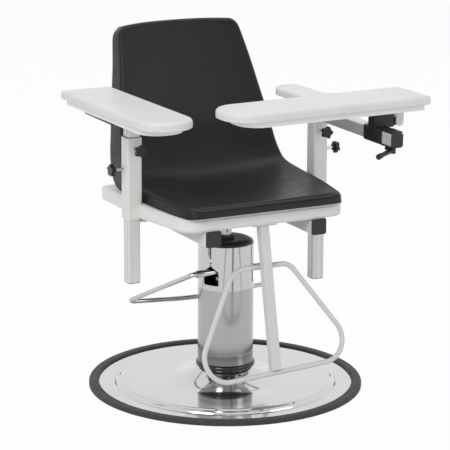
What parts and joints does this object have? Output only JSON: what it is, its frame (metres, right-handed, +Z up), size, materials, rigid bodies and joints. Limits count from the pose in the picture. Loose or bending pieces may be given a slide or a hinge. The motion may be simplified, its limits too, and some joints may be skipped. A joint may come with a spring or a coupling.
{
  "type": "phlebotomy chair",
  "caption": "Blood-drawing chair: moulded shell seat on a hydraulic swivel column and round base, two height-adjustable arm boards, one flipping up, and a foot bar.",
  "frame": {"origin": "on the floor at the column's axis, at the middle of the base's underside", "axes": "+Z up, the chair faces -Y, +X is on the right of someone who looks at the chair from the front"},
  "size_m": [0.694, 0.7147, 0.8466],
  "materials": {
    "plate_iron": "rough casting",
    "cover_chrome": "polished",
    "rim_rubber": "matt",
    "pump_steel": "polished, dark",
    "bolt_steel": "plated",
    "ring_black": "gloss",
    "band_chrome": "polished",
    "tube_brushed": "brushed round",
    "sleeve_chrome": "polished",
    "cap_black": "satin",
    "seal_grey": "matt",
    "ram_chrome": "polished",
    "pedal_chrome": "polished",
    "hub_grey": "satin",
    "seat_white": "satin",
    "frame_white": "satin powder coat",
    "cap_plastic": "satin",
    "shell_black": "fine grained moulding",
    "arm_tube_alu": "satin",
    "arm_plate_dark": "satin",
    "board_white": "satin",
    "board_edge_white": "satin",
    "carriage_black": "satin",
    "knob_black": "gloss"
  },
  "bodies": {
    "base": {"base_plate": "plate_iron", "base_cover": "cover_chrome", "base_rim": "rim_rubber", "pump_body": "pump_steel", "pump_bolts": "bolt_steel", "column_foot_ring": "ring_black", "column_band": "band_chrome", "column_tube": "tube_brushed", "column_sleeve": "sleeve_chrome", "column_cap": "cap_black", "ram_seal": "seal_grey"},
    "pedal": {"pedal_bar": "pedal_chrome", "pedal_shafts": "pedal_chrome"},
    "lift": {"lift_ram": "ram_chrome", "ram_collar": "bolt_steel"},
    "seat": {"swivel_hub": "hub_grey", "hub_bolts": "bolt_steel", "seat_board": "seat_white", "frame_tube_left": "frame_white", "frame_tube_right": "frame_white", "tube_caps": "cap_plastic", "post_bracket_left": "frame_white", "post_bracket_right": "frame_white", "post_left": "frame_white", "post_right": "frame_white", "post_bush_left": "cap_plastic", "post_bush_right": "cap_plastic", "knob_bosses": "frame_white", "foot_strut": "frame_white", "foot_bar": "frame_white", "seat_shell": "shell_black", "seat_screws": "bolt_steel"},
    "left_arm": {"inner_tube_left": "arm_tube_alu", "tube_plug_left": "cap_plastic", "left_arm_plate": "arm_plate_dark", "arm_plate_screws": "bolt_steel", "left_board_base": "board_edge_white", "left_board_top": "board_white"},
    "right_arm": {"inner_tube_right": "arm_tube_alu", "tube_plug_right": "cap_plastic", "arm_beam": "arm_tube_alu", "beam_caps": "cap_plastic"},
    "carriage": {"carriage": "carriage_black", "hinge_pin": "bolt_steel"},
    "flip_board": {"hinge_leaf": "frame_white", "right_board_base": "board_edge_white", "right_board_top": "board_white"},
    "clamp": {"clamp_lever": "knob_black", "clamp_stud": "bolt_steel"},
    "knob_fl": {"knob_front_left": "knob_black", "stud_front_left": "bolt_steel"},
    "knob_sl": {"knob_side_left": "knob_black", "stud_side_left": "bolt_steel"},
    "knob_fr": {"knob_front_right": "knob_black", "stud_front_right": "bolt_steel"},
    "knob_sr": {"knob_side_right": "knob_black", "stud_side_right": "bolt_steel"}
  },
  "joints": [
    {"name": "pedal_stroke", "type": "hinge", "parent": "base", "child": "pedal", "pos_m": [0, -0.034, 0.2905], "axis": [-1, 0, 0], "range_deg": [0, 20], "stiffness_Nm_per_rad": 4, "springref_deg": -22.92},
    {"name": "seat_lift", "type": "slide", "parent": "base", "child": "lift", "axis": [0, 0, 1], "range_m": [0, 0.127]},
    {"name": "seat_swivel", "type": "hinge", "parent": "lift", "child": "seat", "pos_m": [0, 0, 0.4102], "axis": [0, 0, 1], "continuous": true},
    {"name": "left_arm_height", "type": "slide", "parent": "seat", "child": "left_arm", "axis": [0, 0, 1], "range_m": [-0.02, 0.12]},
    {"name": "right_arm_height", "type": "slide", "parent": "seat", "child": "right_arm", "axis": [0, 0, 1], "range_m": [0, 0.14]},
    {"name": "right_board_reach", "type": "slide", "parent": "right_arm", "child": "carriage", "axis": [0, 1, 0], "range_m": [-0.03, 0.2]},
    {"name": "right_board_flip", "type": "hinge", "parent": "carriage", "child": "flip_board", "pos_m": [0.293, -0.284, 0.6739], "axis": [0, 1, 0], "range_deg": [0, 90]},
    {"name": "clamp_turn", "type": "hinge", "parent": "carriage", "child": "clamp", "pos_m": [0.2465, -0.3485, 0.621], "axis": [0, 0, 1], "range_deg": [-60, 60]},
    {"name": "knob_fl_turn", "type": "hinge", "parent": "seat", "child": "knob_fl", "pos_m": [-0.2465, -0.045, 0.605], "axis": [0, -1, 0], "range_deg": [0, 360]},
    {"name": "knob_sl_turn", "type": "hinge", "parent": "seat", "child": "knob_sl", "pos_m": [-0.2955, 0, 0.556], "axis": [-1, 0, 0], "range_deg": [0, 360]},
    {"name": "knob_fr_turn", "type": "hinge", "parent": "seat", "child": "knob_fr", "pos_m": [0.2465, -0.045, 0.605], "axis": [0, -1, 0], "range_deg": [0, 360]},
    {"name": "knob_sr_turn", "type": "hinge", "parent": "seat", "child": "knob_sr", "pos_m": [0.2955, 0, 0.556], "axis": [1, 0, 0], "range_deg": [0, 360]}
  ]
}
